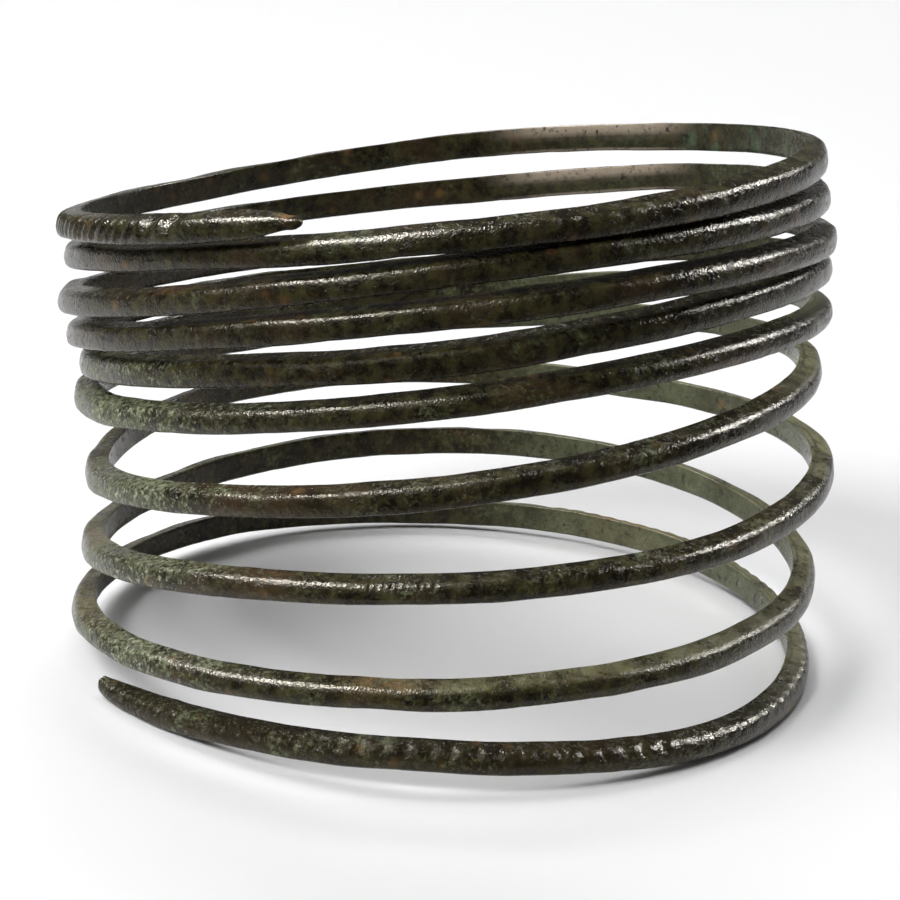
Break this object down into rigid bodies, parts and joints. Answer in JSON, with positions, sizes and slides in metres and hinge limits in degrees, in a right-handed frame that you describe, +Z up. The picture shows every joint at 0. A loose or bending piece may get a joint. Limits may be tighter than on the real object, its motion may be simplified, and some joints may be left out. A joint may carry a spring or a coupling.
{
  "type": "spiral coil bracelet",
  "caption": "Ancient bronze spiral armlet: one flattened wire wound into an open springy coil, with cut grooves near one end and a dimpled edge near the other",
  "frame": {"origin": "middle of the coil's footprint, on the surface that it stands on", "axes": "+Z up along the coil's axis, -Y toward the front with the top end on its left, +X to the right"},
  "size_m": [0.0828, 0.0808, 0.0588],
  "materials": {
    "patinated_bronze": "pitted bronze with a dark olive patina and pale green patches"
  },
  "bodies": {
    "root": {"coil": "patinated_bronze"}
  },
  "joints": []
}
